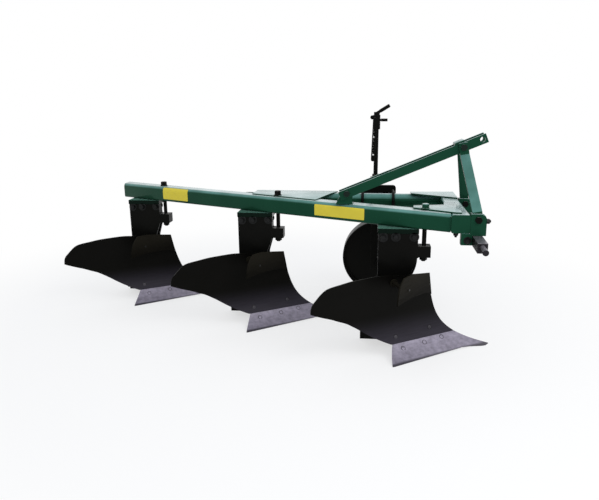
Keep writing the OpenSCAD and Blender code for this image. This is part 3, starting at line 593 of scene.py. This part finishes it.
# main beam: a formed box with wide round shoulders, cut square to the travel at both ends
beamBox = {"wide": 104, "low": 622, "high": 710, "shoulder": 24, "shoulderSteps": 8, "foot": 11, "footSteps": 4,
           "front": -250.3, "rear": -2217, "side": -234, "slant": 24.17, "stock": 2700, "stockMid": 1250,
           "endRound": 1.5, "sharp": 40}
slant = radians(beamBox["slant"])
beamRun = Vector((-cos(slant), sin(slant), 0))
beamSide = Vector((-sin(slant), -cos(slant), 0))
beamMid = (beamBox["low"] + beamBox["high"]) / 2


def onBeam(along, off, z):
    return place(0, beamBox["side"], z) + (beamRun * along + beamSide * off) * mm


def longEdges(bm, up):
    return [e for e in bm.edges
            if abs(e.verts[0].co.x - e.verts[1].co.x) > 1 and (e.verts[0].co.z > 0) == up]


def cutEnd(bm, x, facing):
    cut = bmesh.ops.bisect_plane(bm, geom=bm.verts[:] + bm.edges[:] + bm.faces[:], dist=0.001 * mm,
                                 plane_co=place(x, 0, 0), plane_no=(facing, 0, 0), clear_outer=True)
    rim = [g for g in cut["geom_cut"] if isinstance(g, bmesh.types.BMEdge)]
    bmesh.ops.holes_fill(bm, edges=rim, sides=0)
    roundEdges(bm, rim, beamBox["endRound"] * mm)


bm = bmesh.new()
bmesh.ops.create_cube(bm, size=1)
bmesh.ops.scale(bm, vec=(beamBox["stock"], beamBox["wide"], beamBox["high"] - beamBox["low"]), verts=bm.verts)
roundEdges(bm, longEdges(bm, True), beamBox["shoulder"], beamBox["shoulderSteps"])
roundEdges(bm, longEdges(bm, False), beamBox["foot"], beamBox["footSteps"])
for v in bm.verts:
    v.co = onBeam(v.co.x + beamBox["stockMid"], v.co.y, beamMid + v.co.z)
cutEnd(bm, beamBox["front"], 1)
cutEnd(bm, beamBox["rear"], -1)
piece = makePiece("beamBox", bm, "frame", greenEnamel, beamBox["sharp"])
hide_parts("main_beam")

# plates welded over the two inner corners of the frame
cornerPlates = {"Front": [(-418, -50), (-228, -163), (-200, -163), (-200, 110), (-255, 110), (-262, 38), (-413, 8)],
                "Rear": [(-1296, 332), (-919, 152), (-850, 366), (-815, 440), (-830, 452), (-1290, 462)]}
plateLevel = {"low": 709, "Front": 718, "Rear": 716, "round": 1}
for name, outline in cornerPlates.items():
    bm = bmesh.new()
    rim = [bm.verts.new(place(x, y, plateLevel["low"])) for x, y in outline]
    raised = vertsOf(bmesh.ops.extrude_face_region(bm, geom=[bm.faces.new(rim)]))
    bmesh.ops.translate(bm, vec=(0, 0, (plateLevel[name] - plateLevel["low"]) * mm), verts=raised)
    roundEdges(bm, bm.edges[:], plateLevel["round"] * mm)
    makePiece("cornerPlate" + name, bm, "frame", greenEnamel)

# nuts over the heads of the long bolts that clamp the bodies: the front one was painted with the frame
longNut = {"x": -361, "y": -72, "seat": (717, 715, 709), "high": (741, 742, 736), "r": 18.8,
           "flange": (3.5, 3), "flangeTall": 4, "capTall": 3, "capWide": (0.985, 0.84), "sink": (1, 0.2)}


def addLongNut(bm, k):
    foot = place(longNut["x"], longNut["y"], 0) + bodyStep * k
    r, seat, high = longNut["r"], longNut["seat"][k], longNut["high"][k]
    (wide, wideTop), (r0, r1), cap = longNut["flange"], longNut["capWide"], high - longNut["capTall"]
    flangeTop = seat + longNut["flangeTall"]
    addRing(bm, foot, upAxis, roundSides, r + wide, r + wideTop, seat, flangeTop)
    addRing(bm, foot, upAxis, hexSides, r, r, flangeTop - longNut["sink"][0], cap)
    addRing(bm, foot, upAxis, hexSides, r * r0, r * r1, cap - longNut["sink"][1], high)


bm = bmesh.new()
addLongNut(bm, 0)
makePiece("longNutFront", bm, "frame", greenEnamel)
bm = bmesh.new()
addLongNut(bm, 1)
addLongNut(bm, 2)
makePiece("longNutsBehind", bm, "frame", blackEnamel)
print("beam, corner plates and long nuts made")

# weld beads: a ring walked along the joint, swelling and thinning as the weld was laid
welds = {"size": 3.6, "sides": 8, "step": 5.5 / 3, "swell": (0.86, 1.12, 1.16), "sharp": 60,
         "frame": [[(-252, -178.5, 632), (-252, -178.5, 700)],  # side of the beam
                   [(-719, 54, 711), (-719, 106, 711)],  # brace foot, ahead
                   [(-788, 108.5, 711), (-724, 108.5, 711)],  # brace foot, land side
                   [(-161, -147.5, 634), (-161, -147.5, 706)],  # near ear
                   [(-161, 234.5, 634), (-161, 234.5, 706)],  # far ear, both sides
                   [(-161, 275, 634), (-161, 275, 706)]],
         "tubeEnd": (-251, 415, 668), "tubeR": 42.5,
         "lug": {"x": -391.5, "y": (-102, -48), "z": (534.5, 477.5)}}


def runBead(bm, points):
    spots = [place(*p) for p in points]
    heading = (spots[1] - spots[0]).normalized()
    ring = bmesh.ops.create_circle(bm, cap_ends=True, segments=welds["sides"], radius=welds["size"] * mm,
                                   matrix=aim(spots[0], heading))
    rim = list({e for v in ring["verts"] for e in v.link_edges})
    for i in range(1, len(spots)):
        out = bmesh.ops.extrude_edge_only(bm, edges=rim)
        verts = vertsOf(out)
        rim = [g for g in out["geom"] if isinstance(g, bmesh.types.BMEdge) and all(v in verts for v in g.verts)]
        end = min(i + 1, len(spots) - 1)
        ahead = (spots[end] - spots[end - 1]).normalized()
        swell = welds["swell"][i % 3] / welds["swell"][(i - 1) % 3] if i > 1 else 1.0
        spin = heading.rotation_difference(ahead).to_matrix()
        for v in verts:
            v.co = spots[i] + spin @ ((v.co - spots[i - 1]) * swell)
        heading = ahead
    bmesh.ops.holes_fill(bm, edges=rim, sides=0)


def straightRun(start, end):
    a, b = Vector(start), Vector(end)
    count = max(3, int((b - a).length / welds["step"]))
    return [tuple(a.lerp(b, i / count)) for i in range(count + 1)]


def roundRun(x, y, z, r):
    count = int(2 * pi * r / welds["step"])
    turns = [2 * pi * i / count for i in range(count + 1)]
    return [(x, y + r * sin(turn), z + r * cos(turn)) for turn in turns]


bm = bmesh.new()
for start, end in welds["frame"]:
    runBead(bm, straightRun(start, end))
runBead(bm, roundRun(*welds["tubeEnd"], welds["tubeR"]))
makePiece("frameWelds", bm, "frame", greenEnamel, welds["sharp"])

bm = bmesh.new()
lug = welds["lug"]
for k in range(3):
    for z in lug["z"]:
        near, far = (Vector((lug["x"], y, z)) + bodyPitch * k for y in lug["y"])
        runBead(bm, straightRun(near, far))
makePiece("standardWelds", bm, "frame", blackEnamel, welds["sharp"])
print("welds laid")

# strap across the two brace bars behind the mast joint, on the line that they rise along
strap = {"x": -202, "long": 44, "halfY": 42, "thick": 11, "round": 2}
braceLine = {"x": -748, "z": 767, "rise": 0.41526, "half": 22.5}
rise = braceLine["rise"]
strapLift = braceLine["half"] * sqrt(1 + rise * rise) + strap["thick"] / 2
strapMid = braceLine["z"] + (strap["x"] - braceLine["x"]) * rise + strapLift
bm = bmesh.new()
bmesh.ops.create_cube(bm, size=1)
bmesh.ops.scale(bm, vec=(strap["long"], 2 * strap["halfY"], strap["thick"]), verts=bm.verts)
roundEdges(bm, bm.edges[:], strap["round"])
for v in bm.verts:
    v.co = place(strap["x"] + v.co.x, hitchSide + v.co.y, strapMid + v.co.z + v.co.x * rise)
makePiece("braceStrap", bm, "frame", greenEnamel)

# small bolts about the hitch: seat, axis, flats, washer, stub
hitchBolts = [((-172, -187, 588), -landAxis, 20, True, 0),
              ((-224, -165, 622), -upAxis, 20, True, 6),
              ((-89, -180, 681), aheadAxis, 22, False, 3)]
bm = bmesh.new()
for seat, axis, flats, washer, stub in hitchBolts:
    addHex(bm, place(*seat), axis, flats, washer, stub)
makePiece("hitchBolts", bm, "frame", boltSteel)

# slide in the slot of the hanging bar
slide = {"foot": (-620, 612.7, 881), "tilt": 2, "runs": [(30, 127), (134, 196)], "wide": 7.6, "thick": 8, "round": 0.8}
hanging = Matrix.Translation(place(*slide["foot"])) @ Matrix.Rotation(radians(slide["tilt"]), 4, "Y")
bm = bmesh.new()
for low, high in slide["runs"]:
    size = Matrix.Diagonal((slide["wide"] * mm, slide["thick"] * mm, (high - low) * mm, 1))
    middle = Matrix.Translation((0, 0, (low + high) / 2 * mm))
    bmesh.ops.create_cube(bm, size=1, matrix=hanging @ middle @ size)
roundEdges(bm, bm.edges[:], slide["round"] * mm)
makePiece("barSlide", bm, "leg", blackEnamel)

# grip of the crank, and the cross pin below it with one rounded end
grip = {"foot": (-602, 640, 1147.5), "tilt": radians(59), "from": 20, "to": 85, "r": 10.3}
pin = {"foot": (-602, 640, 1108.1), "from": 25, "to": 63, "r": 8.5}
tip = {"tall": 2, "less": 1.5}
gripAxis = Vector((sin(grip["tilt"]), 0, cos(grip["tilt"])))


def addHandle(bm, rod, axis, bothEnds):
    foot, r = place(*rod["foot"]), rod["r"]
    low, high = rod["from"], rod["to"] - tip["tall"]
    if bothEnds:
        addRing(bm, foot, axis, roundSides, r - tip["less"], r, low, low + tip["tall"])
        low += tip["tall"]
    addRing(bm, foot, axis, roundSides, r, r, low, high)
    addRing(bm, foot, axis, roundSides, r, r - tip["less"], high, rod["to"])


bm = bmesh.new()
addHandle(bm, grip, gripAxis, True)
addHandle(bm, pin, aheadAxis, False)
makePiece("crankGrip", bm, "leg", blackEnamel)

# weld rings of the wheel disc at its hub and rim
wheelWeld = {"x": -562, "z": 238, "sides": (799.8, 808.2), "rings": (46.5, 227.5), "size": 4, "steps": 72}
bm = bmesh.new()
for y in wheelWeld["sides"]:
    centre = place(wheelWeld["x"], y, wheelWeld["z"])
    for r in wheelWeld["rings"]:
        start = bmesh.ops.create_circle(bm, segments=welds["sides"], radius=wheelWeld["size"] * mm,
                                        matrix=aim(centre + aheadAxis * r * mm, upAxis))
        bead = list({e for v in start["verts"] for e in v.link_edges})
        bmesh.ops.spin(bm, geom=bead, cent=centre, axis=landAxis, angle=2 * pi, steps=wheelWeld["steps"],
                       use_merge=True)
makePiece("wheelWelds", bm, "wheel", blackEnamel, welds["sharp"])
print("strap, hitch bolts, slide, grips and wheel welds made")

# plain yellow sign plates on the side of the main beam, left blank: from, to, low, high
signs = {"Rear": (1868, 2067, 637, 707), "Front": (697, 986, 638, 697)}
foil = {"thick": 0.8, "round": 4, "roundSteps": 4, "gap": 0.2, "cols": 4, "rows": 14, "postAngle": 80}


def makeSign(name, start, end, low, high):
    bm = slab(foil["cols"], foil["rows"], foil["thick"])
    bmesh.ops.scale(bm, vec=(end - start, high - low, 1), verts=bm.verts)
    posts = [e for e in bm.edges
             if abs(e.verts[0].co.z - e.verts[1].co.z) > 0.1 and e.calc_face_angle(0) > radians(foil["postAngle"])]
    roundEdges(bm, posts, foil["round"], foil["roundSteps"])
    for v in bm.verts:
        # the foil follows the beam's round shoulder
        z = low + v.co.y
        over = max(0, z - beamBox["high"] + beamBox["shoulder"])
        fall = beamBox["shoulder"] - sqrt(beamBox["shoulder"] ** 2 - over ** 2)
        v.co = onBeam(start + v.co.x, beamBox["wide"] / 2 + foil["gap"] + v.co.z - fall, z)
    makePiece("signPlate" + name, bm, "frame", signYellow)


for name, box in signs.items():
    makeSign(name, *box)
print("sign plates made")

# floor and light: distances in metres, and the floor's own shade shows only near the plough
studio = {"floor": "#f2f2f1", "floorHalf": 40, "fadeFrom": 1.3, "fadeTo": 2.8, "least": 0.62,
          "sky": "#f6f9ff", "skyStrength": 0.9,
          "key": 60, "keySize": (3.0, 2.0), "keyPlace": (2.6, -2.6, 3.2), "keyTarget": (0, 0, 0.5)}
white = (1, 1, 1, 1)


def seenPaths(tree):
    # the rays that meet plain white: the camera's own, and those by way of metal or glass
    paths = addNode(tree, "LightPath").outputs
    seen = combine(tree, "MAXIMUM", paths["Is Camera Ray"], paths["Is Glossy Ray"])
    return combine(tree, "MAXIMUM", seen, paths["Is Transmission Ray"])


def closeMix(tree, output, share, first, second):
    mixed = addNode(tree, "MixShader", {}, {0: share, 1: first.outputs[0], 2: second.outputs[0]})
    addNode(tree, output, {}, {"Surface": mixed.outputs[0]})


bm = bmesh.new()
bmesh.ops.create_grid(bm, x_segments=1, y_segments=1, size=studio["floorHalf"])
floorMesh = bpy.data.meshes.new("floor")
bm.to_mesh(floorMesh)
bm.free()
floor = bpy.data.objects.new("floor", floorMesh)
bpy.context.scene.collection.objects.link(floor)
# pale matt floor: keeps the shadow under the plough and fades to white around it
finish, tree, spot = newFinish("paleFloor")
far = addNode(tree, "VectorMath", {"operation": "LENGTH"}, {0: spot}).outputs["Value"]
fade = spread(tree, far, studio["fadeFrom"], studio["fadeTo"], studio["least"], kind="SMOOTHSTEP")
matt = addNode(tree, "BsdfDiffuse", {"Color": srgb(studio["floor"])})
glow = addNode(tree, "Emission", {"Color": white, "Strength": 1})
closeMix(tree, "OutputMaterial", combine(tree, "MULTIPLY", fade, seenPaths(tree)), matt, glow)
floorMesh.materials.append(finish)

world = bpy.data.worlds.new("studioSky")
bpy.context.scene.world = world
world.use_nodes = True
tree = world.node_tree
tree.nodes.clear()
sky = addNode(tree, "Background", {"Color": srgb(studio["sky"]), "Strength": studio["skyStrength"]})
backdrop = addNode(tree, "Background", {"Color": white, "Strength": 1})
closeMix(tree, "OutputWorld", seenPaths(tree), sky, backdrop)

keyData = bpy.data.lights.new("softBox", "AREA")
keyData.shape = "RECTANGLE"
keyData.size, keyData.size_y = studio["keySize"]
keyData.energy = studio["key"]
key = bpy.data.objects.new("softBox", keyData)
keyPlace = Vector(studio["keyPlace"])
keyAim = Vector(studio["keyTarget"]) - keyPlace
key.matrix_world = Matrix.Translation(keyPlace) @ keyAim.to_track_quat("-Z", "Y").to_matrix().to_4x4()
bpy.context.scene.collection.objects.link(key)
bpy.context.scene.view_settings.view_transform = "Standard"
print("studio set")
